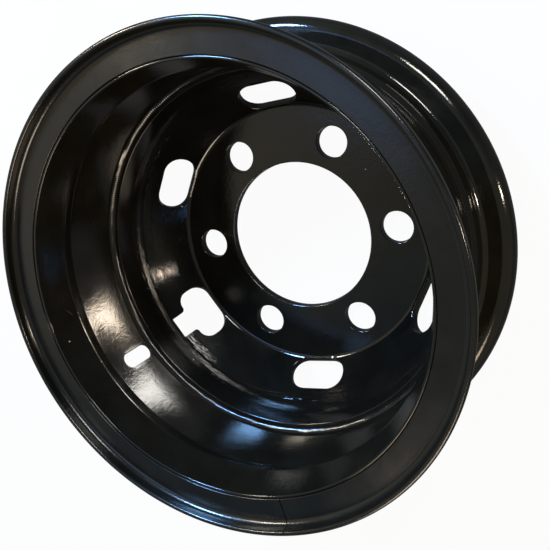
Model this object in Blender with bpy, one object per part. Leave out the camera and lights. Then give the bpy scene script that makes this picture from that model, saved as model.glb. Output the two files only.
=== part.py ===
"""Light-truck steel wheel with a detachable side ring, for twin fitting.

The wheel lies on the outer mounting face of its disc, with its axis along +Z and the deep side up.
The origin is on the axis, in the plane of that face, and the valve slot is on the -Y side.
Lengths are metres.
"""
import math
from typing import NamedTuple

import bmesh
import bpy
from mathutils import Matrix, Vector

# Rim sizes that a tyre sees
OFFSET = 0.135
RIM_WIDTH = 0.1524
BEAD_SEAT_RADIUS = 0.2029
BEAD_SEAT_TAPER = math.radians(5)
BEAD_HEEL_ROUND = 0.0065
FLANGE_HEIGHT = 0.0279
FLANGE_WIDTH = 0.016
FLANGE_CURL_RADIUS = 0.012
FLANGE_EDGE_ROUND = 0.0022

# Rim base: the fixed flange and its bead seat
FIXED_FLANGE_THICKNESS = 0.0055
FIXED_CURL_HOLLOW_ROUND = 0.0062
SEAT_THICKNESS = 0.0062
SEAT_MOUTH_ROUND = 0.012
FIXED_SEAT_WIDTH = 0.0148
SEAT_EDGE_ROUND = 0.003

# Rim base: the well, which the disc is pressed into
WELL_BORE_DROP = 0.0113
WELL_THICKNESS = 0.0059
WELL_RAMP_WIDTH = 0.0054
WELL_FLOOR_WIDTH = 0.0205
WELL_STEP_HEIGHT = 0.0027
WELL_STEP_WIDTH = 0.0045
WELL_ROUND = 0.004
WELL_BORE_ROUND = 0.006

# Rim base: the gutter, which the side ring sits in
LIP_BORE_DROP = 0.0052
LIP_EDGE_THICKNESS = 0.0025
LIP_EDGE_ROUND = 0.001
LIP_STAND = 0.0033
RIDGE_RISE = 0.0091
RIDGE_DEPTH = 0.0345
RIDGE_ROUND = 0.008
GUTTER_FOOT_RISE = 0.0021
GUTTER_FOOT_THICKNESS = 0.0045
GUTTER_FOOT_DEPTH = 0.0502
GUTTER_FOOT_ROUND = 0.005
GROOVE_THICKNESS = 0.0062
GROOVE_FLOOR_WIDTH = 0.009
GROOVE_FLOOR_LEAD = 0.0035
GROOVE_ROUND = 0.002
GROOVE_WALL_WIDTH = 0.0055
BARREL_BEND_ROUND = 0.03

# Side ring
RING_FACE_THICKNESS = 0.0041
RING_CURL_THICKNESS = 0.005
RING_CURL_HOLLOW_ROUND = 0.0055
RING_EDGE_ROUND = 0.0006
RING_TOE_ROUND = 0.0015
RING_TOE_CLEARANCE = 0.0027
RING_SPLIT_GAP = 0.001
RING_SPLIT_AZIMUTH = math.radians(-20.2)

# Disc
BORE_RADIUS = 0.082
BORE_CHAMFER = 0.0012
DISC_THICKNESS = 0.010
WALL_THICKNESS = 0.0075
SKIRT_THICKNESS = 0.0075
WALL_REACH = 0.0398
WALL_ANGLE = math.radians(49.5)
FACE_BEND_ROUND = 0.006
SKIRT_BEND_ROUND = 0.017
SKIRT_EDGE_ROUND = 0.001
SKIRT_SETBACK = 0.0025

# Holes of the disc
HOLE_COUNT = 6
STUD_CIRCLE_RADIUS = 0.111125
STUD_HOLE_RADIUS = 0.0169
STUD_HOLE_CHAMFER = 0.0008
HAND_HOLE_INSET = 0.0128
HAND_HOLE_LENGTH = 0.0622
HAND_HOLE_WIDTH = 0.0368
HAND_HOLE_ROUND = 0.0176
HAND_HOLE_SHOULDER_ROUND = 0.0135
NOTCH_WIDTH = 0.026
NOTCH_SETBACK = 0.0031
NOTCH_MOUTH_ROUND = 0.004
NOTCH_CORNER_ROUND = 0.0012

# Valve slot of the rim base
SLOT_LENGTH = 0.045
SLOT_WIDTH = 0.0177
SLOT_BELOW_CENTRE = 0.0115

# Weld between the disc and the rim base
WELD_LEG = 0.0059
WELD_CROWN_SHARE = 0.13
WELD_CROWN_STEPS = 3

# Fit and fineness
FIT_GAP = 0.0003
CUT_OVERRUN = 0.006
TURN_STEPS = 60
ARC_STEP = math.radians(34)
HOLE_STEPS = 18
SHARP_ANGLE = math.radians(38)

# Azimuths: the valve slot and its notch point to -Y, and a hand hole is behind them
VALVE_AZIMUTH = math.radians(-90)
HOLE_PITCH = math.tau / HOLE_COUNT
STUD_AZIMUTH = VALVE_AZIMUTH + HOLE_PITCH / 2

# Heights that the pieces share
FIXED_FACE_HEIGHT = OFFSET - RIM_WIDTH / 2
LOOSE_FACE_HEIGHT = OFFSET + RIM_WIDTH / 2
FLANGE_RADIUS = BEAD_SEAT_RADIUS + FLANGE_HEIGHT
WELL_BORE_RADIUS = BEAD_SEAT_RADIUS - WELL_BORE_DROP
WELL_FLOOR_START = FIXED_FACE_HEIGHT + FIXED_SEAT_WIDTH + WELL_RAMP_WIDTH
WELL_FLOOR_END = WELL_FLOOR_START + WELL_FLOOR_WIDTH
SKIRT_EDGE_HEIGHT = WELL_FLOOR_END - SKIRT_SETBACK
SKIRT_RADIUS = WELL_BORE_RADIUS - FIT_GAP
SKIRT_BORE_RADIUS = SKIRT_RADIUS - SKIRT_THICKNESS
FACE_RADIUS = SKIRT_BORE_RADIUS - WALL_REACH
HAND_HOLE_CIRCLE_RADIUS = FACE_RADIUS + HAND_HOLE_INSET
NOTCH_REACH = (WALL_REACH - HAND_HOLE_INSET - NOTCH_SETBACK) / math.cos(WALL_ANGLE)
LIP_BORE_RADIUS = BEAD_SEAT_RADIUS - LIP_BORE_DROP
RIDGE_RADIUS = LIP_BORE_RADIUS - RIDGE_RISE
GUTTER_FOOT_RADIUS = LIP_BORE_RADIUS - GUTTER_FOOT_RISE
LIP_EDGE_HEIGHT = LOOSE_FACE_HEIGHT + LIP_STAND
GROOVE_RADIUS = RIDGE_RADIUS + GROOVE_THICKNESS
GROOVE_START = LIP_EDGE_HEIGHT - RIDGE_DEPTH - GROOVE_FLOOR_LEAD
GROOVE_END = GROOVE_START + GROOVE_FLOOR_WIDTH


class Corner(NamedTuple):
    """A corner of an outline, with the radius that it is rounded to."""
    across: float
    along: float
    round: float = 0.0


def rounded(corners: list[Corner]) -> list[Vector]:
    """Points of a closed outline whose corners are rounded by arcs that touch both sides."""
    points = []
    for index, corner in enumerate(corners):
        here = Vector((corner.across, corner.along))
        before = Vector(corners[index - 1][:2]) - here
        after = Vector(corners[(index + 1) % len(corners)][:2]) - here
        turn = math.pi - before.angle(after)
        if corner.round == 0 or turn == 0:
            points.append(here)
            continue
        tangent = corner.round * math.tan(turn / 2)
        start = here + before.normalized() * tangent
        middle = (before.normalized() + after.normalized()).normalized()
        centre = here + middle * math.hypot(corner.round, tangent)
        side = 1 if before.cross(after) > 0 else -1
        steps = max(1, round(turn / ARC_STEP))
        spoke = start - centre
        for step in range(steps + 1):
            angle = side * -turn * step / steps
            points.append(centre + Matrix.Rotation(angle, 2) @ spoke)
    return points


def on_wall(across: float) -> float:
    """Height of the disc's inner side on the wall, at a radius."""
    return DISC_THICKNESS + (across - FACE_RADIUS) * math.tan(WALL_ANGLE)


def rim_base_corners() -> list[Corner]:
    """Section of the rolled rim base, up the tyre's side from the fixed flange and back down the bore."""
    edge_height = FIXED_FACE_HEIGHT - FLANGE_WIDTH
    seat_end_radius = BEAD_SEAT_RADIUS - FIXED_SEAT_WIDTH * math.tan(BEAD_SEAT_TAPER)
    well_radius = WELL_BORE_RADIUS + WELL_THICKNESS
    flange_bore = FLANGE_RADIUS - FIXED_FLANGE_THICKNESS
    flange_back = FIXED_FACE_HEIGHT - FIXED_FLANGE_THICKNESS
    seat_bore = BEAD_SEAT_RADIUS - SEAT_THICKNESS
    groove_shoulder = GUTTER_FOOT_RADIUS + GUTTER_FOOT_THICKNESS
    tyre_side = [
        Corner(FLANGE_RADIUS, edge_height, FLANGE_EDGE_ROUND),
        Corner(FLANGE_RADIUS, FIXED_FACE_HEIGHT, FLANGE_CURL_RADIUS),
        Corner(BEAD_SEAT_RADIUS, FIXED_FACE_HEIGHT, BEAD_HEEL_ROUND),
        Corner(seat_end_radius, FIXED_FACE_HEIGHT + FIXED_SEAT_WIDTH, SEAT_EDGE_ROUND),
        Corner(well_radius, WELL_FLOOR_START, WELL_ROUND),
        Corner(well_radius, WELL_FLOOR_END, WELL_ROUND),
        Corner(well_radius + WELL_STEP_HEIGHT, WELL_FLOOR_END + WELL_STEP_WIDTH, SEAT_EDGE_ROUND),
        Corner(groove_shoulder, GROOVE_START - GROOVE_WALL_WIDTH, GROOVE_ROUND),
        Corner(GROOVE_RADIUS, GROOVE_START, GROOVE_ROUND),
        Corner(GROOVE_RADIUS, GROOVE_END, GROOVE_ROUND),
        Corner(LIP_BORE_RADIUS + LIP_EDGE_THICKNESS, LIP_EDGE_HEIGHT, LIP_EDGE_ROUND),
    ]
    bore_side = [
        Corner(LIP_BORE_RADIUS, LIP_EDGE_HEIGHT, LIP_EDGE_ROUND),
        Corner(RIDGE_RADIUS, LIP_EDGE_HEIGHT - RIDGE_DEPTH, RIDGE_ROUND),
        Corner(GUTTER_FOOT_RADIUS, LIP_EDGE_HEIGHT - GUTTER_FOOT_DEPTH, GUTTER_FOOT_ROUND),
        Corner(WELL_BORE_RADIUS, WELL_FLOOR_END, BARREL_BEND_ROUND),
        Corner(WELL_BORE_RADIUS, WELL_FLOOR_START - WELL_RAMP_WIDTH / 2, WELL_BORE_ROUND),
        Corner(seat_bore, WELL_FLOOR_START - WELL_RAMP_WIDTH * 2, WELL_BORE_ROUND),
        Corner(seat_bore, flange_back, SEAT_MOUTH_ROUND),
        Corner(flange_bore, flange_back, FIXED_CURL_HOLLOW_ROUND),
        Corner(flange_bore, edge_height, FLANGE_EDGE_ROUND),
    ]
    return tyre_side + bore_side


def side_ring_corners() -> list[Corner]:
    """Section of the side ring: its toe sits in the groove and its bore lies along the gutter's lip."""
    lip_start = Vector((GROOVE_RADIUS, GROOVE_END))
    lip_end = Vector((LIP_BORE_RADIUS + LIP_EDGE_THICKNESS, LIP_EDGE_HEIGHT))
    along_lip = (lip_end - lip_start).normalized()
    bore_start = lip_start + Vector((along_lip.y, -along_lip.x)) * FIT_GAP
    face_height = LOOSE_FACE_HEIGHT + RING_FACE_THICKNESS
    bore_end = bore_start + along_lip * (face_height - bore_start.y) / along_lip.y
    edge_height = LOOSE_FACE_HEIGHT + FLANGE_WIDTH
    curl_bore = FLANGE_RADIUS - RING_CURL_THICKNESS
    toe_height = GROOVE_START - GROOVE_WALL_WIDTH + RING_TOE_CLEARANCE + GROOVE_ROUND
    toe_radius = BEAD_SEAT_RADIUS - (LOOSE_FACE_HEIGHT - toe_height) * math.tan(BEAD_SEAT_TAPER)
    toe_depth = toe_radius - GROOVE_RADIUS
    return [
        Corner(GROOVE_RADIUS + FIT_GAP, toe_height + toe_depth, RING_TOE_ROUND),
        Corner(bore_start.x, bore_start.y, GROOVE_ROUND),
        Corner(bore_end.x, bore_end.y, RING_EDGE_ROUND),
        Corner(curl_bore, face_height, RING_CURL_HOLLOW_ROUND),
        Corner(curl_bore, edge_height, FLANGE_EDGE_ROUND),
        Corner(FLANGE_RADIUS, edge_height, FLANGE_EDGE_ROUND),
        Corner(FLANGE_RADIUS, LOOSE_FACE_HEIGHT, FLANGE_CURL_RADIUS),
        Corner(BEAD_SEAT_RADIUS, LOOSE_FACE_HEIGHT, BEAD_HEEL_ROUND),
        Corner(toe_radius, toe_height, RING_TOE_ROUND),
    ][::-1]


def disc_corners() -> list[Corner]:
    """Section of the pressed disc: flat face, sloping wall and the skirt that is pressed into the well."""
    slope = Vector((math.cos(WALL_ANGLE), math.sin(WALL_ANGLE)))
    back = Vector((FACE_RADIUS, DISC_THICKNESS)) + Vector((slope.y, -slope.x)) * WALL_THICKNESS
    foot_radius = back.x - back.y / math.tan(WALL_ANGLE)
    knee_height = back.y + (SKIRT_RADIUS - back.x) * math.tan(WALL_ANGLE)
    return [
        Corner(BORE_RADIUS, BORE_CHAMFER),
        Corner(BORE_RADIUS + BORE_CHAMFER, 0),
        Corner(foot_radius, 0, FACE_BEND_ROUND + WALL_THICKNESS),
        Corner(SKIRT_RADIUS, knee_height, SKIRT_BEND_ROUND + WALL_THICKNESS),
        Corner(SKIRT_RADIUS, SKIRT_EDGE_HEIGHT, SKIRT_EDGE_ROUND),
        Corner(SKIRT_BORE_RADIUS, SKIRT_EDGE_HEIGHT, SKIRT_EDGE_ROUND),
        Corner(SKIRT_BORE_RADIUS, on_wall(SKIRT_BORE_RADIUS), SKIRT_BEND_ROUND),
        Corner(FACE_RADIUS, DISC_THICKNESS, FACE_BEND_ROUND),
        Corner(BORE_RADIUS + BORE_CHAMFER, DISC_THICKNESS),
        Corner(BORE_RADIUS, DISC_THICKNESS - BORE_CHAMFER),
    ]


def weld_corners() -> list[Corner]:
    """Section of the fillet weld, which fills the corner between the skirt's edge and the rim's bore."""
    root_radius = WELL_BORE_RADIUS - FIT_GAP
    root_height = SKIRT_EDGE_HEIGHT + FIT_GAP
    upper_toe = Vector((root_radius, root_height + WELD_LEG))
    lower_toe = Vector((root_radius - WELD_LEG, root_height))
    outward = Vector((-1, 1)).normalized() * WELD_LEG * WELD_CROWN_SHARE
    corners = [Corner(root_radius, root_height)]
    for step in range(WELD_CROWN_STEPS + 1):
        share = step / WELD_CROWN_STEPS
        point = upper_toe.lerp(lower_toe, share) + outward * math.sin(math.pi * share)
        corners.append(Corner(point.x, point.y))
    return corners


def paint(name: str, colour: tuple, roughness: float) -> bpy.types.Material:
    """Gloss paint over steel."""
    material = bpy.data.materials.new(name)
    material.use_nodes = True
    shader = material.node_tree.nodes["Principled BSDF"]
    shader.inputs["Base Color"].default_value = (*colour, 1)
    shader.inputs["Roughness"].default_value = roughness
    shader.inputs["Metallic"].default_value = 0
    shader.inputs["Coat Weight"].default_value = 1
    material.diffuse_color = (*colour, 1)
    return material


def add_object(name: str, shape: bmesh.types.BMesh) -> bpy.types.Object:
    """Turns a bmesh into an object of the scene."""
    bmesh.ops.recalc_face_normals(shape, faces=shape.faces)
    mesh = bpy.data.meshes.new(name)
    shape.to_mesh(mesh)
    shape.free()
    item = bpy.data.objects.new(name, mesh)
    bpy.context.scene.collection.objects.link(item)
    return item


def turned(name: str, corners: list[Corner]) -> bpy.types.Object:
    """Spins a section about the wheel's axis into a closed ring."""
    shape = bmesh.new()
    verts = [shape.verts.new((point.x, 0, point.y)) for point in rounded(corners)]
    edges = [shape.edges.new((vert, verts[index - 1])) for index, vert in enumerate(verts)]
    bmesh.ops.spin(shape, geom=verts + edges, axis=(0, 0, 1), cent=(0, 0, 0), dvec=(0, 0, 0),
                   angle=math.tau, steps=TURN_STEPS, use_merge=True, use_duplicate=False)
    item = add_object(name, shape)
    item.data.shade_smooth()
    item.data.set_sharp_from_angle(angle=SHARP_ANGLE)
    return item


def prism(shape: bmesh.types.BMesh, outline: list[Vector], place: Matrix, depth: float) -> None:
    """Adds a prism whose outline is in the XY plane of its place, half its depth to each side."""
    verts = [shape.verts.new((point.x, point.y, -depth / 2)) for point in outline]
    face = shape.faces.new(verts)
    top = bmesh.ops.extrude_face_region(shape, geom=[face])["geom"]
    moved = [item for item in top if isinstance(item, bmesh.types.BMVert)]
    bmesh.ops.translate(shape, verts=moved, vec=(0, 0, depth))
    bmesh.ops.transform(shape, verts=verts + moved, matrix=place)


def cut(item: bpy.types.Object, name: str, shape: bmesh.types.BMesh) -> None:
    """Cuts a shape out of an object, and keeps the shape as a guide."""
    cutter = add_object(name, shape)
    cutter.hide_render = True
    cutter.display_type = "WIRE"
    boolean = item.modifiers.new(name, "BOOLEAN")
    boolean.operation = "DIFFERENCE"
    boolean.solver = "EXACT"
    boolean.object = cutter


def turn_to(azimuth: float) -> Matrix:
    """Turns +X to an azimuth about the wheel's axis."""
    return Matrix.Rotation(azimuth, 4, "Z")


def stud_hole_cutters() -> bmesh.types.BMesh:
    """Stud holes with a small chamfer at both faces of the disc."""
    flare = STUD_HOLE_CHAMFER + CUT_OVERRUN
    reach = [
        (STUD_HOLE_RADIUS + flare, -CUT_OVERRUN),
        (STUD_HOLE_RADIUS, STUD_HOLE_CHAMFER),
        (STUD_HOLE_RADIUS, DISC_THICKNESS - STUD_HOLE_CHAMFER),
        (STUD_HOLE_RADIUS + flare, DISC_THICKNESS + CUT_OVERRUN),
    ]
    shape = bmesh.new()
    for index in range(HOLE_COUNT):
        centre = turn_to(STUD_AZIMUTH + index * HOLE_PITCH) @ Vector((STUD_CIRCLE_RADIUS, 0, 0))
        rings = []
        for radius, height in reach:
            place = Matrix.Translation(centre + Vector((0, 0, height)))
            ring = bmesh.ops.create_circle(shape, segments=HOLE_STEPS, radius=radius, matrix=place,
                                           cap_ends=height in (reach[0][1], reach[-1][1]))
            rings.append(ring["verts"])
        for lower, upper in zip(rings, rings[1:]):
            sides = [edge for ring in (lower, upper) for edge in ring_edges(ring)]
            bmesh.ops.bridge_loops(shape, edges=sides)
    return shape


def ring_edges(ring: list[bmesh.types.BMVert]) -> list[bmesh.types.BMEdge]:
    """Edges that join the verts of one ring."""
    return [edge for edge in {edge for vert in ring for edge in vert.link_edges}
            if edge.verts[0] in ring and edge.verts[1] in ring]


def hand_hole_corners() -> list[Corner]:
    """Outline of a hand hole: +X runs along the wheel's edge and +Y up the wall."""
    length, width = HAND_HOLE_LENGTH / 2, HAND_HOLE_WIDTH / 2
    return [Corner(across * length, along * width, HAND_HOLE_ROUND)
            for across, along in ((-1, -1), (1, -1), (1, 1), (-1, 1))]


def notched_hole_corners() -> list[Corner]:
    """Outline of the hand hole whose outer side opens into the notch for the valve stem."""
    length, width, half = HAND_HOLE_LENGTH / 2, HAND_HOLE_WIDTH / 2, NOTCH_WIDTH / 2
    return [
        Corner(-length, -width, HAND_HOLE_ROUND),
        Corner(length, -width, HAND_HOLE_ROUND),
        Corner(length, width, HAND_HOLE_SHOULDER_ROUND),
        Corner(half, width, NOTCH_MOUTH_ROUND),
        Corner(half, NOTCH_REACH, NOTCH_CORNER_ROUND),
        Corner(-half, NOTCH_REACH, NOTCH_CORNER_ROUND),
        Corner(-half, width, NOTCH_MOUTH_ROUND),
        Corner(-length, width, HAND_HOLE_SHOULDER_ROUND),
    ]


def hand_hole_cutters() -> bmesh.types.BMesh:
    """Hand holes, pierced square to the wall, with the notch in the one beside the valve."""
    depth = (WALL_THICKNESS + CUT_OVERRUN) * 2
    shape = bmesh.new()
    for index in range(HOLE_COUNT):
        corners = hand_hole_corners() if index else notched_hole_corners()
        on_surface = Matrix.Translation((HAND_HOLE_CIRCLE_RADIUS, 0, on_wall(HAND_HOLE_CIRCLE_RADIUS)))
        tilt = Matrix.Rotation(-WALL_ANGLE, 4, "Y") @ Matrix.Rotation(-math.tau / 4, 4, "Z")
        place = turn_to(VALVE_AZIMUTH + index * HOLE_PITCH) @ on_surface @ tilt
        prism(shape, rounded(corners), place, depth)
    return shape


def valve_slot_cutter() -> bmesh.types.BMesh:
    """Slot for the valve of an inner tube, through the barrel of the rim base."""
    half_width, half_length = SLOT_WIDTH / 2, SLOT_LENGTH / 2
    corners = [Corner(across * half_length, along * half_width, half_width)
               for across, along in ((-1, -1), (1, -1), (1, 1), (-1, 1))]
    inside = WELL_BORE_RADIUS - CUT_OVERRUN
    outside = GUTTER_FOOT_RADIUS + GUTTER_FOOT_THICKNESS + WELL_STEP_HEIGHT + CUT_OVERRUN
    centre = Vector(((inside + outside) / 2, 0, OFFSET - SLOT_BELOW_CENTRE))
    place = turn_to(VALVE_AZIMUTH) @ Matrix.Translation(centre) @ Matrix.Rotation(math.tau / 4, 4, "Y")
    shape = bmesh.new()
    prism(shape, rounded(corners), place, outside - inside)
    return shape


def ring_split_cutter() -> bmesh.types.BMesh:
    """Saw cut that lets the side ring spring over the gutter's lip."""
    inside = RIDGE_RADIUS
    outside = FLANGE_RADIUS + CUT_OVERRUN
    low = GROOVE_START - GROOVE_WALL_WIDTH - CUT_OVERRUN
    high = LOOSE_FACE_HEIGHT + FLANGE_WIDTH + CUT_OVERRUN
    shape = bmesh.new()
    bmesh.ops.create_cube(shape, size=1)
    bmesh.ops.scale(shape, verts=shape.verts, vec=(outside - inside, RING_SPLIT_GAP, high - low))
    bmesh.ops.translate(shape, verts=shape.verts, vec=((inside + outside) / 2, 0, (low + high) / 2))
    bmesh.ops.transform(shape, verts=shape.verts, matrix=turn_to(RING_SPLIT_AZIMUTH))
    return shape


def build_rim_base() -> None:
    """Rolled rim base with its valve slot."""
    item = turned("rim_base", rim_base_corners())
    cut(item, "valve_slot_cutter", valve_slot_cutter())
    item.data.materials.append(paint("rim_base_paint", (0.012, 0.012, 0.013), 0.16))


def build_side_ring() -> None:
    """Detachable side ring, cut through at one place."""
    item = turned("side_ring", side_ring_corners())
    cut(item, "ring_split_cutter", ring_split_cutter())
    item.data.materials.append(paint("side_ring_paint", (0.015, 0.015, 0.016), 0.18))


def build_disc() -> None:
    """Pressed disc with its bore, stud holes, hand holes and valve notch."""
    item = turned("disc", disc_corners())
    cut(item, "stud_hole_cutter", stud_hole_cutters())
    cut(item, "hand_hole_cutter", hand_hole_cutters())
    item.data.materials.append(paint("disc_paint", (0.010, 0.010, 0.011), 0.14))


def build_weld() -> None:
    """Fillet weld all the way round the skirt's edge."""
    item = turned("weld_bead", weld_corners())
    item.data.materials.append(paint("weld_paint", (0.013, 0.013, 0.014), 0.22))


def main() -> None:
    """Clears the scene and builds the wheel."""
    for item in list(bpy.data.objects):
        bpy.data.objects.remove(item, do_unlink=True)
    build_rim_base()
    build_side_ring()
    build_disc()
    build_weld()


main()
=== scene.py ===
"""Looks of a light-truck steel wheel with a detachable side ring, seen from its deep side.

The wheel lies on the outer mounting face of its disc, with its axis along +Z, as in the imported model.
The valve slot is on the -Y side. Lengths are metres, and angles are radians.
"""

import logging
import math
from abc import ABC, abstractmethod
from collections.abc import Callable
from dataclasses import dataclass, field
from enum import Enum

import bmesh
import bpy
from mathutils import Matrix, Vector, noise


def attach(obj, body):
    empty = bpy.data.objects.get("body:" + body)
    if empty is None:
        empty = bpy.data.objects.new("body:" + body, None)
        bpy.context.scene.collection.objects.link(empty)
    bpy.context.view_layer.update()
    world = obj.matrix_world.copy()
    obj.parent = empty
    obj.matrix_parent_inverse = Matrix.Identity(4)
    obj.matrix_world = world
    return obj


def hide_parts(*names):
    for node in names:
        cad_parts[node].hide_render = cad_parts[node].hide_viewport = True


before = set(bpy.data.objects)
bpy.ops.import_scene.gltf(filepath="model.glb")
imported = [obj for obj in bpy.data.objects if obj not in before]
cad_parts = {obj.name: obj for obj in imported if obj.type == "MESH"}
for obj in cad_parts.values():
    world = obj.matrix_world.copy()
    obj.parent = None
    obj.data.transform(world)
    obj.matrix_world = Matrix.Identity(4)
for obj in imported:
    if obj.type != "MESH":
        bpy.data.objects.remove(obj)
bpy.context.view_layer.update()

LOG = logging.getLogger("steel_wheel")
BODY = "root"
UP = Vector((0, 0, 1))
ORIGIN = Vector((0, 0, 0))


class Side(Enum):
    """Which way a cutter's rounded mouth opens."""
    INNER = 1
    OUTER = -1


@dataclass(frozen=True)
class Corner:
    """A corner of an outline: its place in the outline's plane and the radius that it is rounded to."""
    across: float
    along: float
    round: float = 0.0


@dataclass(frozen=True)
class Fineness:
    """How finely round stretches are divided."""
    turn_steps: int = 288
    arc_step: float = math.radians(9)
    outline_step: float = math.radians(10)
    longest_edge: float = 0.006
    sharp_angle: float = math.radians(50)
    merge_distance: float = 1e-6


FINE = Fineness()


def rounded_outline(shape: bmesh.types.BMesh, corners: list[Corner], place: Matrix,
                    arc_step: float) -> list[bmesh.types.BMVert]:
    """Draws a closed outline and rounds its corners.

    Args:
        shape: The bmesh that takes the outline.
        corners: The corners, in order.
        place: Puts the outline's XY plane in the wheel's frame.
        arc_step: The largest turn between two points of an arc.

    Returns:
        The verts of the outline.
    """
    before = set(shape.verts)
    verts = [shape.verts.new((corner.across, corner.along, 0)) for corner in corners]
    for index, vert in enumerate(verts):
        shape.edges.new((verts[index - 1], vert))
    for index, corner in enumerate(corners):
        here = Vector((corner.across, corner.along))
        last, following = corners[index - 1], corners[(index + 1) % len(corners)]
        back = Vector((last.across, last.along)) - here
        ahead = Vector((following.across, following.along)) - here
        turn = math.pi - back.angle(ahead)
        if corner.round and turn:
            bmesh.ops.bevel(shape, geom=[verts[index]], offset=corner.round * math.tan(turn / 2),
                            offset_type="OFFSET", affect="VERTICES", profile=0.5, material=-1,
                            segments=max(2, round(turn / arc_step)), clamp_overlap=False)
    drawn = [vert for vert in shape.verts if vert not in before]
    bmesh.ops.remove_doubles(shape, verts=drawn, dist=FINE.merge_distance)
    drawn = [vert for vert in shape.verts if vert not in before]
    bmesh.ops.transform(shape, verts=drawn, matrix=place)
    return drawn


def edges_of(verts: list[bmesh.types.BMVert]) -> list[bmesh.types.BMEdge]:
    """Finds the edges whose two ends are both in a list of verts.

    Args:
        verts: The verts.

    Returns:
        The edges, in the bmesh's order.
    """
    chosen = set(verts)
    found = {edge for vert in verts for edge in vert.link_edges if set(edge.verts) <= chosen}
    return sorted(found, key=lambda edge: edge.index)


def as_object(name: str, shape: bmesh.types.BMesh) -> bpy.types.Object:
    """Makes a scene object of a closed bmesh, with its faces pointing out.

    Args:
        name: The object's name.
        shape: The bmesh, which is freed.

    Returns:
        The object.
    """
    bmesh.ops.recalc_face_normals(shape, faces=shape.faces)
    if shape.calc_volume(signed=True) < 0:
        bmesh.ops.reverse_faces(shape, faces=shape.faces)
    mesh = bpy.data.meshes.new(name)
    shape.to_mesh(mesh)
    shape.free()
    item = bpy.data.objects.new(name, mesh)
    bpy.context.scene.collection.objects.link(item)
    return item


@dataclass(frozen=True)
class Nodes:
    """Adds nodes to a node tree and wires them up."""
    tree: bpy.types.NodeTree

    def fill(self, node: bpy.types.Node, inputs: dict[str | int, object]) -> None:
        """Sets inputs of a node.

        Args:
            node: The node.
            inputs: What each input gets, by its name or number: a socket or a constant.
        """
        for key, value in inputs.items():
            if isinstance(value, bpy.types.NodeSocket):
                self.tree.links.new(value, node.inputs[key])
            else:
                node.inputs[key].default_value = value

    def add(self, kind: str, inputs: dict[str | int, object], **settings: str) -> bpy.types.Node:
        """Adds a node.

        Args:
            kind: Its type, without the word ShaderNode.
            inputs: What its inputs get.
            settings: Its own settings.

        Returns:
            The node.
        """
        node = self.tree.nodes.new(f"ShaderNode{kind}")
        for name, value in settings.items():
            setattr(node, name, value)
        self.fill(node, inputs)
        return node

    def maths(self, operation: str, *values: object) -> bpy.types.NodeSocket:
        """Works out a number from sockets and constants."""
        return self.add("Math", dict(enumerate(values)), operation=operation).outputs["Value"]

    def vector(self, operation: str, *values: object) -> bpy.types.Node:
        """Adds a node that works on vectors, given as sockets and constants."""
        return self.add("VectorMath", dict(enumerate(values)), operation=operation)

    def spread(self, value: bpy.types.NodeSocket, start: float, end: float, low: float = 0.0,
               high: float = 1.0, **settings: str) -> bpy.types.NodeSocket:
        """Maps a range of a value onto another range.

        Args:
            value: The value.
            start: Where its range starts.
            end: Where its range ends.
            low: What the start becomes.
            high: What the end becomes.
            settings: The node's own settings.

        Returns:
            The new value.
        """
        inputs = {"Value": value, "From Min": start, "From Max": end, "To Min": low, "To Max": high}
        return self.add("MapRange", inputs, **settings).outputs["Result"]

    def noise(self, place: bpy.types.NodeSocket, size: float, detail: float) -> bpy.types.NodeSocket:
        """Adds a noise with bumps of about a size, which has some finer layers."""
        return self.add("TexNoise", {"Vector": place, "Scale": 1 / size, "Detail": detail}).outputs["Fac"]

    def mixed(self, share: bpy.types.NodeSocket, under: bpy.types.NodeSocket,
              over: tuple[float, float, float]) -> bpy.types.NodeSocket:
        """Lays a plain colour over another.

        Args:
            share: How much of the plain colour shows.
            under: The colour below.
            over: The plain colour.

        Returns:
            The mixed colour.
        """
        mix = self.add("Mix", {"Factor": share}, data_type="RGBA")
        colours = {item.name: item for item in mix.inputs if item.type == "RGBA"}
        self.tree.links.new(under, colours["A"])
        colours["B"].default_value = (*over, 1)
        return next(item for item in mix.outputs if item.type == "RGBA")


@dataclass(frozen=True)
class Mark:
    """A chip or scratch in the paint: its middle, half its length and width, its direction and colour."""
    middle: tuple[float, float, float]
    reach: float
    width: float
    towards: tuple[float, float, float] = (1.0, 0.0, 0.0)
    colour: tuple[float, float, float] = (0.30, 0.28, 0.25)

    def share(self, nodes: Nodes, place: bpy.types.NodeSocket) -> bpy.types.NodeSocket:
        """Finds where the mark is.

        Args:
            nodes: The material's nodes.
            place: Object coordinates.

        Returns:
            1 inside the mark and 0 outside it.
        """
        local = nodes.add("Mapping", {
            "Vector": place,
            "Location": self.middle,
            "Rotation": Vector(self.towards).to_track_quat("X", "Z").to_euler(),
            "Scale": (self.reach, self.width, self.width),
        }, vector_type="TEXTURE")
        away = nodes.vector("LENGTH", local.outputs["Vector"]).outputs["Value"]
        return nodes.maths("LESS_THAN", away, 1)


@dataclass(frozen=True)
class Relief:
    """A layer of relief: the distance between its bumps, their depth and the number of finer layers."""
    size: float
    depth: float
    detail: int

    def laid(self, nodes: Nodes, place: bpy.types.NodeSocket, below: bpy.types.NodeSocket | None,
             share: bpy.types.NodeSocket | None = None) -> bpy.types.NodeSocket:
        """Lays the layer on a surface.

        Args:
            nodes: The material's nodes.
            place: The coordinates that the bumps follow.
            below: The normal that the layer is laid on, if any.
            share: Where the layer shows, or none for everywhere.

        Returns:
            The new normal.
        """
        height = nodes.noise(place, self.size, self.detail)
        if share is not None:
            height = nodes.maths("MULTIPLY", share, height)
        inputs = {"Height": height, "Distance": self.depth}
        if below is not None:
            inputs["Normal"] = below
        return nodes.add("Bump", inputs).outputs["Normal"]


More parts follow.
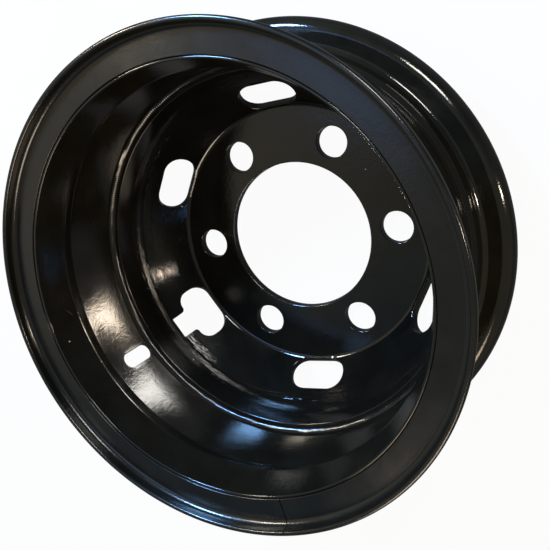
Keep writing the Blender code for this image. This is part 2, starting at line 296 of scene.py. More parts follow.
@dataclass(frozen=True)
class GlossPaint:
    """Black stoving enamel over rolled steel, with orange peel, and ring-shaped grain and grit under it."""
    name: str
    colour: tuple[float, float, float] = (0.0036, 0.0033, 0.0025)
    tone_shares: tuple[float, float] = (0.8, 1.25)
    mottle_size: float = 0.03
    mottle_detail: int = 3
    mottle_core: tuple[float, float] = (0.3, 0.7)
    roughness: float = 0.10
    roughness_spread: float = 0.04
    refraction: float = 1.5
    brushing: float = 0.0
    brushing_turn: float = 0.25
    peel: Relief = Relief(0.006, 0.00005, 1)
    grain: Relief = Relief(0.0014, 0.000022, 3)
    grain_drift_share: float = 0.015
    grit: Relief = Relief(0.0018, 0.000055, 2)
    drawn: Relief = Relief(0.0012, 0.0003, 2)
    drawn_drift_share: float = 0.12
    drawn_band: tuple[float, float] | None = None
    marks: tuple[Mark, ...] = ()

    def material(self) -> bpy.types.Material:
        """Builds the finish.

        Returns:
            The material.
        """
        material = bpy.data.materials.new(self.name)
        material.use_nodes = True
        nodes = Nodes(material.node_tree)
        place = nodes.add("TexCoord", {}).outputs["Object"]
        mottle = nodes.noise(place, self.mottle_size, self.mottle_detail)
        least, most = self.roughness - self.roughness_spread / 2, self.roughness + self.roughness_spread / 2
        nodes.fill(material.node_tree.nodes["Principled BSDF"], {
            "Base Color": self.marked(nodes, place, self.tone(nodes, mottle)),
            "Metallic": 0,
            "Roughness": nodes.spread(mottle, *self.mottle_core, least, most),
            "IOR": self.refraction,
            "Normal": self.relief(nodes, place),
            "Anisotropic": self.brushing,
            "Anisotropic Rotation": self.brushing_turn,
            "Tangent": nodes.add("Tangent", {}, direction_type="RADIAL", axis="Z").outputs["Tangent"],
        })
        return material

    def tone(self, nodes: Nodes, mottle: bpy.types.NodeSocket) -> bpy.types.NodeSocket:
        """Lets the black drift slightly between a darker and a lighter tone.

        Args:
            nodes: The material's nodes.
            mottle: A slow noise, from 0 to 1.

        Returns:
            The colour.
        """
        ramp = nodes.add("ValToRGB", {"Fac": mottle})
        for stop, position, share in zip(ramp.color_ramp.elements, self.mottle_core, self.tone_shares):
            stop.position = position
            stop.color = (*(tone * share for tone in self.colour), 1)
        return ramp.outputs["Color"]

    def marked(self, nodes: Nodes, place: bpy.types.NodeSocket,
               under: bpy.types.NodeSocket) -> bpy.types.NodeSocket:
        """Lays the marks over the paint's colour.

        Args:
            nodes: The material's nodes.
            place: Object coordinates.
            under: The paint's colour.

        Returns:
            The colour with its marks.
        """
        for mark in self.marks:
            under = nodes.mixed(mark.share(nodes, place), under, mark.colour)
        return under

    def relief(self, nodes: Nodes, place: bpy.types.NodeSocket) -> bpy.types.NodeSocket:
        """Lays the orange peel, the grain and the grit, and roughens the band drawn round a bend.

        Args:
            nodes: The material's nodes.
            place: Object coordinates.

        Returns:
            The normal.
        """
        normal = self.peel.laid(nodes, place, None)
        normal = self.grain.laid(nodes, self.ring_place(nodes, place, self.grain_drift_share), normal)
        normal = self.grit.laid(nodes, place, normal)
        if self.drawn_band:
            low, high = self.drawn_band
            height = nodes.add("SeparateXYZ", {"Vector": place}).outputs["Z"]
            away = nodes.maths("ABSOLUTE", nodes.maths("SUBTRACT", height, (low + high) / 2))
            share = nodes.spread(away, (high - low) / 2, (high - low) / 4)
            ring_place = self.ring_place(nodes, place, self.drawn_drift_share)
            normal = self.drawn.laid(nodes, ring_place, normal, share)
        return normal

    @staticmethod
    def ring_place(nodes: Nodes, place: bpy.types.NodeSocket, drift_share: float) -> bpy.types.NodeSocket:
        """Turns a place into its radius and height, with a slow drift, so that a noise there makes rings.

        Args:
            nodes: The material's nodes.
            place: Object coordinates.
            drift_share: How fast the rings change round the wheel, from 0 for whole rings to 1.

        Returns:
            The coordinates.
        """
        split = nodes.add("SeparateXYZ", {"Vector": place}).outputs
        flat = nodes.add("CombineXYZ", {"X": split["X"], "Y": split["Y"]}).outputs["Vector"]
        radius = nodes.vector("LENGTH", flat).outputs["Value"]
        ring = nodes.add("CombineXYZ", {"X": radius, "Y": split["Z"]}).outputs["Vector"]
        return nodes.vector("MULTIPLY_ADD", place, [drift_share] * 3, ring).outputs["Vector"]


@dataclass(frozen=True)
class RimSizes:
    """Sizes that the rim base, the side ring and the disc share."""
    offset: float = 0.135
    rim_width: float = 0.1524
    seat_radius: float = 0.2029
    seat_taper: float = math.radians(5)
    heel_round: float = 0.0065
    flange_height: float = 0.0279
    flange_width: float = 0.016
    curl_radius: float = 0.012
    well_bore_drop: float = 0.0113
    well_thickness: float = 0.0059
    seat_width: float = 0.0148
    well_ramp_width: float = 0.0054
    well_floor_width: float = 0.0205
    lip_bore_drop: float = 0.0052
    lip_edge_thickness: float = 0.0025
    lip_stand: float = 0.0033
    ridge_rise: float = 0.0091
    ridge_depth: float = 0.0345
    foot_rise: float = 0.0021
    foot_thickness: float = 0.0045
    foot_depth: float = 0.0502
    groove_thickness: float = 0.0062
    groove_floor_width: float = 0.009
    groove_floor_lead: float = 0.0035
    groove_wall_width: float = 0.0055
    skirt_setback: float = 0.0025
    fit_gap: float = 0.0003
    valve_azimuth: float = -math.tau / 4

    @property
    def fixed_face(self) -> float:
        """Height of the fixed flange's bead face."""
        return self.offset - self.rim_width / 2

    @property
    def loose_face(self) -> float:
        """Height of the side ring's bead face."""
        return self.offset + self.rim_width / 2

    @property
    def flange_radius(self) -> float:
        """Radius of both flanges."""
        return self.seat_radius + self.flange_height

    @property
    def well_bore(self) -> float:
        """Radius of the bore under the well."""
        return self.seat_radius - self.well_bore_drop

    @property
    def floor_start(self) -> float:
        """Height at which the well's floor starts."""
        return self.fixed_face + self.seat_width + self.well_ramp_width

    @property
    def floor_end(self) -> float:
        """Height at which the well's floor ends."""
        return self.floor_start + self.well_floor_width

    @property
    def lip_bore(self) -> float:
        """Radius of the gutter's lip, inside."""
        return self.seat_radius - self.lip_bore_drop

    @property
    def lip_edge(self) -> float:
        """Height of the lip's edge, the top of the rim base."""
        return self.loose_face + self.lip_stand

    @property
    def ridge_radius(self) -> float:
        """Radius of the ridge that the gutter's groove makes in the bore."""
        return self.lip_bore - self.ridge_rise

    @property
    def foot_radius(self) -> float:
        """Radius of the bore at the gutter's foot."""
        return self.lip_bore - self.foot_rise

    @property
    def groove_radius(self) -> float:
        """Radius of the groove's floor."""
        return self.ridge_radius + self.groove_thickness

    @property
    def groove_start(self) -> float:
        """Height at which the groove's floor starts."""
        return self.lip_edge - self.ridge_depth - self.groove_floor_lead

    @property
    def groove_end(self) -> float:
        """Height at which the groove's floor ends."""
        return self.groove_start + self.groove_floor_width

    @property
    def skirt_edge(self) -> float:
        """Height of the disc's skirt edge."""
        return self.floor_end - self.skirt_setback


RIM = RimSizes()
RIM_MARKS = (
    Mark((-0.0757, -0.1757, 0.1901), 0.0055, 0.0002, (0.0091, -0.0021, -0.0064), (0.06, 0.06, 0.05)),
    Mark((-0.0505, -0.1878, 0.2022), 0.0009, 0.0007),
    Mark((-0.0152, -0.1885, 0.1807), 0.0009, 0.0008),
)
DISC_MARKS = (
    Mark((-0.0111, 0.1074, 0.01), 0.0008, 0.0007),
    Mark((0.0405, -0.1793, 0.0672), 0.0009, 0.0008),
)


@dataclass
class TurnedPiece(ABC):
    """A piece whose body is a section spun about the wheel's axis, then pierced."""
    name: str
    node: str
    slot: str
    finish: GlossPaint
    turn_steps: int = FINE.turn_steps

    @abstractmethod
    def section(self) -> list[Corner]:
        """Corners of the section: radius across and height along."""

    def cutters(self) -> list[bmesh.types.BMesh]:
        """Shapes that are cut out of the spun body."""
        return []

    def spun(self) -> bmesh.types.BMesh:
        """Spins the section about the wheel's axis.

        Returns:
            The closed body.
        """
        shape = bmesh.new()
        upright = Matrix.Rotation(math.tau / 4, 4, "X")
        verts = rounded_outline(shape, self.section(), upright, FINE.arc_step)
        edges = edges_of(verts)
        for edge in edges:
            cuts = int(edge.calc_length() / FINE.longest_edge)
            if cuts:
                bmesh.ops.subdivide_edges(shape, edges=[edge], cuts=cuts)
        bmesh.ops.spin(shape, geom=shape.verts[:] + shape.edges[:], cent=ORIGIN, axis=UP, dvec=ORIGIN,
                       angle=math.tau, steps=self.turn_steps, use_merge=True, use_duplicate=False)
        return shape

    def pierced(self, item: bpy.types.Object) -> None:
        """Cuts the cutters out of the body and keeps only the result.

        Args:
            item: The spun body.
        """
        tools = [as_object(f"{self.name}_cutter_{index}", shape)
                 for index, shape in enumerate(self.cutters())]
        for tool in tools:
            boolean = item.modifiers.new(tool.name, "BOOLEAN")
            boolean.operation = "DIFFERENCE"
            boolean.solver = "EXACT"
            boolean.object = tool
        if tools:
            seen = item.evaluated_get(bpy.context.evaluated_depsgraph_get())
            mesh = bpy.data.meshes.new_from_object(seen)
            item.modifiers.clear()
            item.data = mesh
            mesh.name = self.name
        for tool in tools:
            bpy.data.meshes.remove(tool.data)

    def build(self) -> bpy.types.Object:
        """Builds the piece, dresses it and puts it in its node's place.

        Returns:
            The finished object.
        """
        item = as_object(self.name, self.spun())
        self.pierced(item)
        item.data.shade_smooth()
        item.data.set_sharp_from_angle(angle=FINE.sharp_angle)
        normals = item.modifiers.new("even_shading", "WEIGHTED_NORMAL")
        normals.keep_sharp = True
        item.data.materials.clear()
        item.data.materials.append(self.finish.material())
        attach(item, BODY)
        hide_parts(self.node)
        LOG.info("%s: %d faces", self.name, len(item.data.polygons))
        return item


@dataclass(frozen=True)
class Punch:
    """A punch for a hole whose edges are rounded where it meets both sides of a wall."""
    corners: list[Corner]
    place: Matrix
    thickness: float
    edge_round: float
    overrun: float = 0.0016
    clearance: float = 0.006
    clearance_flare_share: float = 0.125
    arc_steps: int = 4
    lift: Callable[[float, float], float] = field(default=lambda across, along: 0.0)

    def shape(self) -> bmesh.types.BMesh:
        """Builds the punch: the hole's outline, extruded, with mouths that flare in a quarter round.

        Returns:
            The closed shape, with its outline's XY plane on the wall's inner side.
        """
        shape = bmesh.new()
        middle = Matrix.Translation((0, 0, -self.thickness / 2))
        verts = rounded_outline(shape, self.corners, middle, FINE.outline_step)
        base = bmesh.ops.contextual_create(shape, geom=edges_of(verts))["faces"][0]
        made = bmesh.ops.extrude_face_region(shape, geom=[base], use_keep_orig=True)["geom"]
        top = next(item for item in made if isinstance(item, bmesh.types.BMFace))
        shape.normal_update()
        for face, side in ((top, Side.INNER), (base, Side.OUTER)):
            if face.normal.z * side.value < 0:
                face.normal_flip()
            straight = (self.thickness / 2 - self.edge_round) * side.value
            bmesh.ops.translate(shape, verts=face.verts, vec=(0, 0, straight))
            self.flare(shape, face)
        for vert in shape.verts:
            vert.co.z += self.lift(vert.co.x, vert.co.y)
        bmesh.ops.transform(shape, verts=shape.verts, matrix=self.place)
        return shape

    def flare(self, shape: bmesh.types.BMesh, face: bmesh.types.BMFace) -> None:
        """Opens one mouth of the punch in a quarter round, and runs it past the wall.

        Args:
            shape: The punch.
            face: The face at the mouth.
        """
        turn = math.tau / 4 / (self.arc_steps + 1)
        for step in range(self.arc_steps):
            start, end = step * turn, (step + 1) * turn
            wider = self.edge_round * (math.cos(start) - math.cos(end))
            higher = self.edge_round * (math.sin(end) - math.sin(start))
            bmesh.ops.inset_individual(shape, faces=[face], thickness=-wider, depth=higher,
                                       use_even_offset=True)
        last = math.tau / 4 - turn
        bmesh.ops.inset_individual(shape, faces=[face], thickness=-self.overrun * math.sin(last),
                                   depth=self.overrun * math.cos(last), use_even_offset=True)
        bmesh.ops.inset_individual(shape, faces=[face], use_even_offset=True, depth=self.clearance,
                                   thickness=-self.overrun * self.clearance_flare_share)


@dataclass
class RimBase(TurnedPiece):
    """Rolled rim base: fixed flange, bead seat, well, barrel and the gutter that holds the side ring."""
    flange_thickness: float = 0.0055
    flange_edge_round: float = 0.0022
    curl_hollow_round: float = 0.0062
    seat_thickness: float = 0.0062
    mouth_round: float = 0.012
    seat_edge_round: float = 0.003
    well_step_height: float = 0.0027
    well_step_width: float = 0.0045
    well_round: float = 0.004
    well_bore_round: float = 0.006
    barrel_bend_round: float = 0.03
    lip_edge_round: float = 0.001
    ridge_round: float = 0.008
    foot_round: float = 0.005
    groove_round: float = 0.002
    slot_length: float = 0.045
    slot_width: float = 0.0177
    slot_below_middle: float = 0.0115
    slot_edge_round: float = 0.0008

    def section(self) -> list[Corner]:
        """Draws the section up the tyre's side from the fixed flange, and back down the bore.

        Returns:
            The corners.
        """
        edge = RIM.fixed_face - RIM.flange_width
        seat_end = RIM.seat_radius - RIM.seat_width * math.tan(RIM.seat_taper)
        well = RIM.well_bore + RIM.well_thickness
        flange_bore = RIM.flange_radius - self.flange_thickness
        flange_back = RIM.fixed_face - self.flange_thickness
        seat_bore = RIM.seat_radius - self.seat_thickness
        return [
            Corner(RIM.flange_radius, edge, self.flange_edge_round),
            Corner(RIM.flange_radius, RIM.fixed_face, RIM.curl_radius),
            Corner(RIM.seat_radius, RIM.fixed_face, RIM.heel_round),
            Corner(seat_end, RIM.fixed_face + RIM.seat_width, self.seat_edge_round),
            Corner(well, RIM.floor_start, self.well_round),
            Corner(well, RIM.floor_end, self.well_round),
            Corner(well + self.well_step_height, RIM.floor_end + self.well_step_width,
                   self.seat_edge_round),
            Corner(RIM.foot_radius + RIM.foot_thickness, RIM.groove_start - RIM.groove_wall_width,
                   self.groove_round),
            Corner(RIM.groove_radius, RIM.groove_start, self.groove_round),
            Corner(RIM.groove_radius, RIM.groove_end, self.groove_round),
            Corner(RIM.lip_bore + RIM.lip_edge_thickness, RIM.lip_edge, self.lip_edge_round),
            Corner(RIM.lip_bore, RIM.lip_edge, self.lip_edge_round),
            Corner(RIM.ridge_radius, RIM.lip_edge - RIM.ridge_depth, self.ridge_round),
            Corner(RIM.foot_radius, RIM.lip_edge - RIM.foot_depth, self.foot_round),
            Corner(RIM.well_bore, RIM.floor_end, self.barrel_bend_round),
            Corner(RIM.well_bore, RIM.floor_start - RIM.well_ramp_width / 2, self.well_bore_round),
            Corner(seat_bore, RIM.floor_start - RIM.well_ramp_width * 2, self.well_bore_round),
            Corner(seat_bore, flange_back, self.mouth_round),
            Corner(flange_bore, flange_back, self.curl_hollow_round),
            Corner(flange_bore, edge, self.flange_edge_round),
        ]

    def cutters(self) -> list[bmesh.types.BMesh]:
        """Builds the punch of the valve slot, pierced through the barrel.

        Returns:
            The punch alone.
        """
        middle = RIM.offset - self.slot_below_middle
        rise = (RIM.foot_radius - RIM.well_bore) / (RIM.lip_edge - RIM.foot_depth - RIM.floor_end)
        bore = RIM.well_bore + (middle - RIM.floor_end) * rise
        corners = [Corner(across * self.slot_length / 2, along * self.slot_width / 2, self.slot_width / 2)
                   for across, along in ((-1, -1), (1, -1), (1, 1), (-1, 1))]
        place = (Matrix.Rotation(RIM.valve_azimuth, 4, "Z") @ Matrix.Translation((bore, 0, middle))
                 @ Matrix.Rotation(-math.tau / 4, 4, "Y"))

        def lift(across: float, along: float) -> float:
            """How far the bore's surface lies above the slot's middle, towards the axis."""
            return along ** 2 / bore / 2 - across * rise

        thickness = RIM.foot_thickness + self.well_step_height - rise * self.slot_length / 2
        return [Punch(corners, place, thickness, self.slot_edge_round, lift=lift).shape()]


@dataclass
class SideRing(TurnedPiece):
    """Detachable side ring, cut through at one place so that it springs over the gutter's lip."""
    face_thickness: float = 0.0041
    curl_thickness: float = 0.005
    curl_hollow_round: float = 0.0055
    flange_edge_round: float = 0.0022
    bore_edge_round: float = 0.0006
    toe_round: float = 0.0015
    toe_clearance: float = 0.0027
    groove_round: float = 0.002
    split_gap: float = 0.001
    split_azimuth: float = math.radians(-20.2)

    def section(self) -> list[Corner]:
        """Draws the section from the toe in the groove, up the bore, over the flange and down the seat.

        Returns:
            The corners.
        """
        lip_start = Vector((RIM.groove_radius, RIM.groove_end))
        lip_end = Vector((RIM.lip_bore + RIM.lip_edge_thickness, RIM.lip_edge))
        along_lip = (lip_end - lip_start).normalized()
        bore_start = lip_start + Vector((along_lip.y, -along_lip.x)) * RIM.fit_gap
        face = RIM.loose_face + self.face_thickness
        bore_end = bore_start + along_lip * (face - bore_start.y) / along_lip.y
        edge = RIM.loose_face + RIM.flange_width
        curl_bore = RIM.flange_radius - self.curl_thickness
        toe = RIM.groove_start - RIM.groove_wall_width + self.toe_clearance + self.groove_round
        toe_radius = RIM.seat_radius - (RIM.loose_face - toe) * math.tan(RIM.seat_taper)
        return [
            Corner(RIM.groove_radius + RIM.fit_gap, toe + toe_radius - RIM.groove_radius, self.toe_round),
            Corner(bore_start.x, bore_start.y, self.groove_round),
            Corner(bore_end.x, bore_end.y, self.bore_edge_round),
            Corner(curl_bore, face, self.curl_hollow_round),
            Corner(curl_bore, edge, self.flange_edge_round),
            Corner(RIM.flange_radius, edge, self.flange_edge_round),
            Corner(RIM.flange_radius, RIM.loose_face, RIM.curl_radius),
            Corner(RIM.seat_radius, RIM.loose_face, RIM.heel_round),
            Corner(toe_radius, toe, self.toe_round),
        ]

    def cutters(self) -> list[bmesh.types.BMesh]:
        """Builds the saw that cuts through the ring.

        Returns:
            The saw alone.
        """
        depth = RIM.flange_radius - RIM.ridge_radius
        height = RIM.flange_width * 4 + RIM.foot_depth
        shape = bmesh.new()
        bmesh.ops.create_cube(shape, size=1)
        bmesh.ops.scale(shape, verts=shape.verts, vec=(depth * 2, self.split_gap, height))
        bmesh.ops.translate(shape, verts=shape.verts, vec=(RIM.flange_radius, 0, RIM.loose_face))
        bmesh.ops.rotate(shape, verts=shape.verts, cent=ORIGIN,
                         matrix=Matrix.Rotation(self.split_azimuth, 3, "Z"))
        return [shape]


@dataclass
class Disc(TurnedPiece):
    """Pressed disc: flat face, sloping wall and the skirt that is pressed into the well."""
    bore_radius: float = 0.082
    bore_edge_round: float = 0.0012
    face_thickness: float = 0.010
    wall_thickness: float = 0.0075
    skirt_thickness: float = 0.0075
    wall_reach: float = 0.0398
    wall_angle: float = math.radians(49.5)
    face_bend_round: float = 0.006
    skirt_bend_round: float = 0.017
    skirt_edge_round: float = 0.001
    hole_count: int = 6
    stud_circle_radius: float = 0.111125
    stud_hole_radius: float = 0.0169
    stud_edge_round: float = 0.0009
    hand_hole_inset: float = 0.0128
    hand_hole_length: float = 0.0622
    hand_hole_width: float = 0.0368
    hand_hole_round: float = 0.0176
    hand_edge_round: float = 0.0013
    shoulder_round: float = 0.0135
    notch_width: float = 0.026
    notch_setback: float = 0.0031
    notch_mouth_round: float = 0.004
    notch_corner_round: float = 0.0012

    @property
    def skirt_radius(self) -> float:
        """Radius of the skirt's outer side."""
        return RIM.well_bore - RIM.fit_gap

    @property
    def skirt_bore(self) -> float:
        """Radius of the skirt's bore."""
        return self.skirt_radius - self.skirt_thickness

    @property
    def face_radius(self) -> float:
        """Radius at which the flat face bends up into the wall, inside."""
        return self.skirt_bore - self.wall_reach

    @property
    def hand_circle(self) -> float:
        """Radius at which the hand holes are centred on the wall's inner side."""
        return self.face_radius + self.hand_hole_inset

    def on_wall(self, across: float) -> float:
        """Height of the wall's inner side at a radius."""
        return self.face_thickness + (across - self.face_radius) * math.tan(self.wall_angle)

    def section(self) -> list[Corner]:
        """Draws the section from the bore along the outer side to the skirt's edge, and back inside.

        Returns:
            The corners.
        """
        slope = Vector((math.cos(self.wall_angle), math.sin(self.wall_angle)))
        bend = Vector((self.face_radius, self.face_thickness))
        back = bend + Vector((slope.y, -slope.x)) * self.wall_thickness
        foot = back.x - back.y / math.tan(self.wall_angle)
        knee = back.y + (self.skirt_radius - back.x) * math.tan(self.wall_angle)
        return [
            Corner(self.bore_radius, 0, self.bore_edge_round),
            Corner(foot, 0, self.face_bend_round + self.wall_thickness),
            Corner(self.skirt_radius, knee, self.skirt_bend_round + self.wall_thickness),
            Corner(self.skirt_radius, RIM.skirt_edge, self.skirt_edge_round),
            Corner(self.skirt_bore, RIM.skirt_edge, self.skirt_edge_round),
            Corner(self.skirt_bore, self.on_wall(self.skirt_bore), self.skirt_bend_round),
            Corner(self.face_radius, self.face_thickness, self.face_bend_round),
            Corner(self.bore_radius, self.face_thickness, self.bore_edge_round),
        ]

    def cutters(self) -> list[bmesh.types.BMesh]:
        """Builds the punches of the stud holes, the hand holes and the valve notch.

        Returns:
            The punches.
        """
        pitch = math.tau / self.hole_count
        found = []
        for index in range(self.hole_count):
            azimuth = RIM.valve_azimuth + index * pitch
            found.append(self.hand_hole(azimuth, notched=index == 0))
            found.append(self.stud_hole(azimuth + pitch / 2))
        return found

    def stud_hole(self, azimuth: float) -> bmesh.types.BMesh:
        """Builds the punch of one stud hole.

        Args:
            azimuth: Where the hole is.

        Returns:
            The punch.
        """
        half = self.stud_hole_radius
        corners = [Corner(across * half, along * half, half)
                   for across, along in ((-1, -1), (1, -1), (1, 1), (-1, 1))]
        place = (Matrix.Rotation(azimuth, 4, "Z")
                 @ Matrix.Translation((self.stud_circle_radius, 0, self.face_thickness)))
        return Punch(corners, place, self.face_thickness, self.stud_edge_round).shape()

    def hand_hole(self, azimuth: float, notched: bool) -> bmesh.types.BMesh:
        """Builds the punch of one hand hole, square to the wall.

        Args:
            azimuth: Where the hole is.
            notched: Whether its outer side opens into the valve notch.

        Returns:
            The punch.
        """
        length, width, half = self.hand_hole_length / 2, self.hand_hole_width / 2, self.notch_width / 2
        reach = (self.wall_reach - self.hand_hole_inset - self.notch_setback) / math.cos(self.wall_angle)
        shoulder = self.shoulder_round if notched else self.hand_hole_round
        corners = [
            Corner(-length, -width, self.hand_hole_round),
            Corner(length, -width, self.hand_hole_round),
            Corner(length, width, shoulder),
        ]
        if notched:
            corners += [
                Corner(half, width, self.notch_mouth_round),
                Corner(half, reach, self.notch_corner_round),
                Corner(-half, reach, self.notch_corner_round),
                Corner(-half, width, self.notch_mouth_round),
            ]
        corners.append(Corner(-length, width, shoulder))
        place = (Matrix.Rotation(azimuth, 4, "Z")
                 @ Matrix.Translation((self.hand_circle, 0, self.on_wall(self.hand_circle)))
                 @ Matrix.Rotation(-self.wall_angle, 4, "Y") @ Matrix.Rotation(-math.tau / 4, 4, "Z"))

        bend_start = ((self.wall_reach - self.hand_hole_inset) / math.cos(self.wall_angle)
                      - self.skirt_bend_round * math.tan((math.tau / 4 - self.wall_angle) / 2))

        def lift(across: float, along: float) -> float:
            """Follows the wall where it bends up beside the hole's middle line, and towards the skirt.

            Args:
                across: The distance from the middle line.
                along: The distance up the wall from the hole's middle.

            Returns:
                How far the wall's inner side lies above the hole's plane.
            """
            radius = self.hand_circle + along * math.cos(self.wall_angle)
            past = min(max(0, along - bend_start), self.skirt_bend_round)
            bend = self.skirt_bend_round - math.sqrt(self.skirt_bend_round ** 2 - past ** 2)
            return across ** 2 * math.sin(self.wall_angle) / radius / 2 + bend

        return Punch(corners, place, self.wall_thickness, self.hand_edge_round, lift=lift).shape()


@dataclass
class WeldBead(TurnedPiece):
    """Fillet weld between the skirt's edge and the rim's bore, laid in short ripples."""
    leg: float = 0.0059
    crown_share: float = 0.13
    crown_steps: int = 10
    ripple_pitch: float = 0.0026
    ripple_height: float = 0.00028
    ripple_bow: float = 0.0016
    ripple_sharpness: float = 1.5
    uneven_share: float = 0.2
    uneven_size: float = 0.006
    wander: float = 0.0004
    wander_size: float = 0.012
    turn_steps: int = 1700

    @property
    def root(self) -> Vector:
        """Radius and height of the fillet's root."""
        return Vector((RIM.well_bore - RIM.fit_gap, RIM.skirt_edge + RIM.fit_gap))

    def section(self) -> list[Corner]:
        """Draws the fillet, with its crown between the two toes.

        Returns:
            The corners.
        """
        root = self.root
        upper, lower = root + Vector((0, self.leg)), root - Vector((self.leg, 0))
        outward = Vector((-1, 1)).normalized() * self.leg * self.crown_share
        corners = [Corner(*root)]
        for step in range(self.crown_steps + 1):
            share = step / self.crown_steps
            point = upper.lerp(lower, share) + outward * math.sin(math.pi * share)
            corners.append(Corner(*point))
        return corners

    def spun(self) -> bmesh.types.BMesh:
        """Spins the fillet and lays the ripples on its crown.

        Returns:
            The closed body.
        """
        shape = super().spun()
        middle = self.root + Vector((-1, 1)) * self.leg / 2
        ripples = round(math.tau * RIM.well_bore / self.ripple_pitch)
        for vert in shape.verts:
            radius = math.hypot(vert.co.x, vert.co.y)
            here = Vector((radius, vert.co.z))
            if (here - self.root).length < self.leg / 2:
                continue
            across = here - middle
            share = (across.x + across.y) / self.leg
            crown = 1 - min(1, abs(share)) ** 2
            turned = math.atan2(vert.co.y, vert.co.x) / math.tau * ripples
            phase = turned - self.ripple_bow / self.ripple_pitch * share ** 2
            phase += self.uneven_share * noise.noise(vert.co / self.uneven_size)
            ripple = (0.5 + 0.5 * math.cos(math.tau * phase)) ** self.ripple_sharpness
            wander = self.wander * noise.noise(vert.co / self.wander_size)
            height = crown * (self.ripple_height * ripple + wander)
            outward = Vector((-vert.co.x / radius, -vert.co.y / radius, 1)).normalized()
            vert.co += outward * height
        return shape


def direction(azimuth: float, elevation: float) -> Vector:
    """Points from the wheel to a place in the room.

    Args:
        azimuth: Degrees from +X towards +Y.
        elevation: Degrees above the floor.

    Returns:
        The unit vector.
    """
    turn, rise = math.radians(azimuth), math.radians(elevation)
    return Vector((math.cos(turn) * math.cos(rise), math.sin(turn) * math.cos(rise), math.sin(rise)))


@dataclass(frozen=True)
class SkyPatch:
    """A soft-edged patch of the room's walls, for the gloss to show. Angles are degrees."""
    azimuth: float
    elevation: float
    core: float
    reach: float
    colour: tuple[float, float, float]


@dataclass(frozen=True)
class Lamp(ABC):
    """A rectangular lamp. Its azimuth is in degrees."""
    name: str
    azimuth: float
    size: tuple[float, float]
    power: float
    colour: tuple[float, float, float]

    @abstractmethod
    def place(self) -> Matrix:
        """Where the lamp is, and how it is turned."""


@dataclass(frozen=True)
class SoftBox(Lamp):
    """A soft box that points at the wheel. Its elevation is in degrees."""
    elevation: float
    distance: float = 1.6

    def place(self) -> Matrix:
        """Works out where the soft box hangs, and how it is turned.

        Returns:
            Its place.
        """
        towards = direction(self.azimuth, self.elevation)
        turn = towards.to_track_quat("Z", "Y").to_matrix().to_4x4()
        return Matrix.Translation(towards * self.distance) @ turn


@dataclass(frozen=True)
class FloorLamp(Lamp):
    """A narrow lamp that lies on the floor under the bore and shines up, as light from behind the wheel."""
    middle: tuple[float, float, float]

    def place(self) -> Matrix:
        """Where the lamp lies, with its long side along its azimuth."""
        return (Matrix.Translation(self.middle) @ Matrix.Rotation(math.radians(self.azimuth), 4, "Z")
                @ Matrix.Rotation(math.pi, 4, "X"))


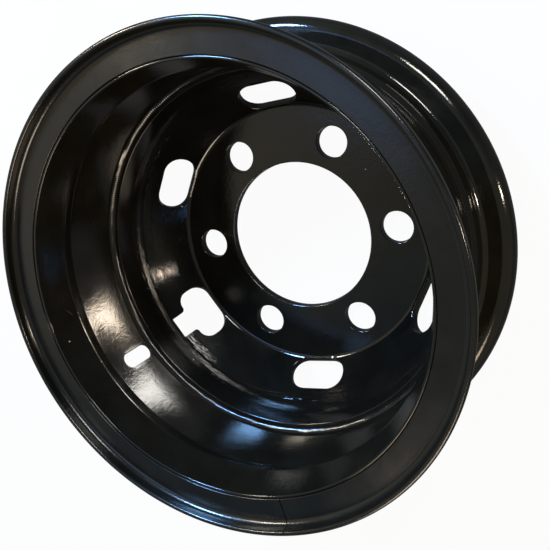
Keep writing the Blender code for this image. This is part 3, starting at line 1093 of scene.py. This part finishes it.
@dataclass
class Studio:
    """Pale floor, soft lamps and the camera at the viewing angle."""
    floor_half: float = 12.0
    floor_white: float = 0.95
    floor_gloss: float = 0.10
    floor_tone: float = 0.02
    room_colour: tuple[float, float, float] = (0.26, 0.26, 0.21)
    patches: tuple[SkyPatch, ...] = (
        SkyPatch(100, 25, 10, 50, (0.05, 0.06, 0.07)),
        SkyPatch(285, 42, 6, 30, (0.08, 0.13, 0.17)),
        SkyPatch(234, 52, 6, 28, (0.63, 0.57, 0.45)),
        SkyPatch(214, 74, 4, 13, (0.8, 1.3, 2.4)),
    )
    lamps: tuple[Lamp, ...] = (
        SoftBox("warm_box", 60, (0.07, 0.24), 6, (1.0, 0.84, 0.66), 27),
        SoftBox("white_box", 110, (0.40, 0.30), 12, (1.0, 0.96, 0.88), 44),
        SoftBox("blue_window", 172, (0.28, 0.24), 58, (0.26, 0.54, 1.0), 44),
        SoftBox("far_box", 200, (0.13, 0.20), 11, (1.0, 0.88, 0.70), 46),
        SoftBox("side_box", 338, (0.70, 0.50), 12, (1.0, 0.82, 0.64), 47),
        FloorLamp("warm_gap", 62, (0.060, 0.009), 0.062, (1.0, 0.84, 0.66), (0.014, -0.020, 0.002)),
        FloorLamp("white_gap", 112, (0.060, 0.016), 0.062, (1.0, 0.97, 0.90), (-0.032, -0.020, 0.002)),
    )
    camera_place: tuple[float, float, float] = (0.04433, 0.37485, 0.72434)
    camera_turn: tuple[float, float, float] = (-18.2337, 30.302, 46.8734)
    lens: float = 47.327
    sensor: float = 36.0
    shift: tuple[float, float] = (0.11747, -0.02441)

    def build(self) -> None:
        """Builds the whole studio."""
        self.floor()
        self.world()
        for lamp in self.lamps:
            self.light(lamp)
        self.camera()

    def floor(self) -> None:
        """Lays the floor, which keeps the wheel's shadow."""
        shape = bmesh.new()
        bmesh.ops.create_grid(shape, x_segments=1, y_segments=1, size=self.floor_half)
        item = as_object("studio_floor", shape)
        material = bpy.data.materials.new("floor_white")
        material.use_nodes = True
        material.node_tree.nodes.clear()
        nodes = Nodes(material.node_tree)
        ray = nodes.add("LightPath", {}).outputs
        gloss = nodes.maths("MULTIPLY", ray["Is Glossy Ray"], self.floor_gloss)
        level = nodes.maths("MULTIPLY_ADD", ray["Is Camera Ray"], self.floor_white, gloss)
        matt = nodes.add("BsdfDiffuse", {"Color": (*[self.floor_tone] * 3, 1)}).outputs["BSDF"]
        glow = nodes.add("Emission", {"Strength": level}).outputs["Emission"]
        both = nodes.add("AddShader", {0: matt, 1: glow}).outputs["Shader"]
        nodes.add("OutputMaterial", {"Surface": both})
        item.data.materials.append(material)

    def world(self) -> None:
        """Sets the room: white behind the wheel, and soft patches of wall for the gloss to show."""
        world = bpy.data.worlds.new("studio_room")
        world.use_nodes = True
        nodes = Nodes(world.node_tree)
        way = nodes.add("TexCoord", {}).outputs["Generated"]
        room = nodes.add("RGB", {}).outputs["Color"]
        room.default_value = (*self.room_colour, 1)
        for patch in self.patches:
            middle = direction(patch.azimuth, patch.elevation)
            towards = nodes.vector("DOT_PRODUCT", way, middle).outputs["Value"]
            edge, core = math.cos(math.radians(patch.reach)), math.cos(math.radians(patch.core))
            share = nodes.spread(towards, edge, core, interpolation_type="SMOOTHSTEP")
            room = nodes.mixed(share, room, patch.colour)
        seen = nodes.add("LightPath", {}).outputs["Is Camera Ray"]
        nodes.fill(world.node_tree.nodes["Background"], {"Color": nodes.mixed(seen, room, (1, 1, 1))})
        bpy.context.scene.world = world

    def light(self, lamp: Lamp) -> None:
        """Puts up one lamp, which the camera doesn't see.

        Args:
            lamp: The lamp.
        """
        data = bpy.data.lights.new(lamp.name, "AREA")
        data.shape = "RECTANGLE"
        data.size, data.size_y = lamp.size
        data.energy = lamp.power
        data.color = lamp.colour
        item = bpy.data.objects.new(lamp.name, data)
        item.matrix_world = lamp.place()
        item.visible_camera = False
        bpy.context.scene.collection.objects.link(item)

    def camera(self) -> None:
        """Sets up the camera."""
        data = bpy.data.cameras.new("camera")
        data.sensor_width = self.sensor
        data.lens = self.lens
        data.shift_x, data.shift_y = self.shift
        item = bpy.data.objects.new("camera", data)
        item.location = self.camera_place
        item.rotation_euler = [math.radians(angle) for angle in self.camera_turn]
        bpy.context.scene.collection.objects.link(item)
        bpy.context.scene.camera = item
        bpy.context.scene.view_settings.view_transform = "Standard"


def main() -> None:
    """Builds the studio and every piece of the wheel."""
    logging.basicConfig(level=logging.INFO, format="%(name)s %(message)s")
    Studio().build()
    # The rim base gets the same black enamel painted lighter and warmer than the other pieces: painted
    # light that brightens the barrel.
    rim_enamel_painted_light = GlossPaint("rim_enamel_painted_light", colour=(0.0052, 0.0046, 0.0031), brushing=0.5, marks=RIM_MARKS)
    ring_enamel = GlossPaint("ring_enamel", roughness=0.20, brushing=0.5)
    disc_enamel = GlossPaint("disc_enamel", drawn_band=(0.044, 0.072), marks=DISC_MARKS)
    weld_enamel = GlossPaint("weld_enamel")
    for piece in (
        RimBase("rim_base_body", "rim_base", "rim_paint", rim_enamel_painted_light),
        SideRing("side_ring_body", "side_ring", "ring_paint", ring_enamel),
        Disc("disc_body", "disc", "disc_paint", disc_enamel),
        WeldBead("weld_body", "weld_bead", "weld_paint", weld_enamel),
    ):
        piece.build()


if __name__ == "__main__":
    main()
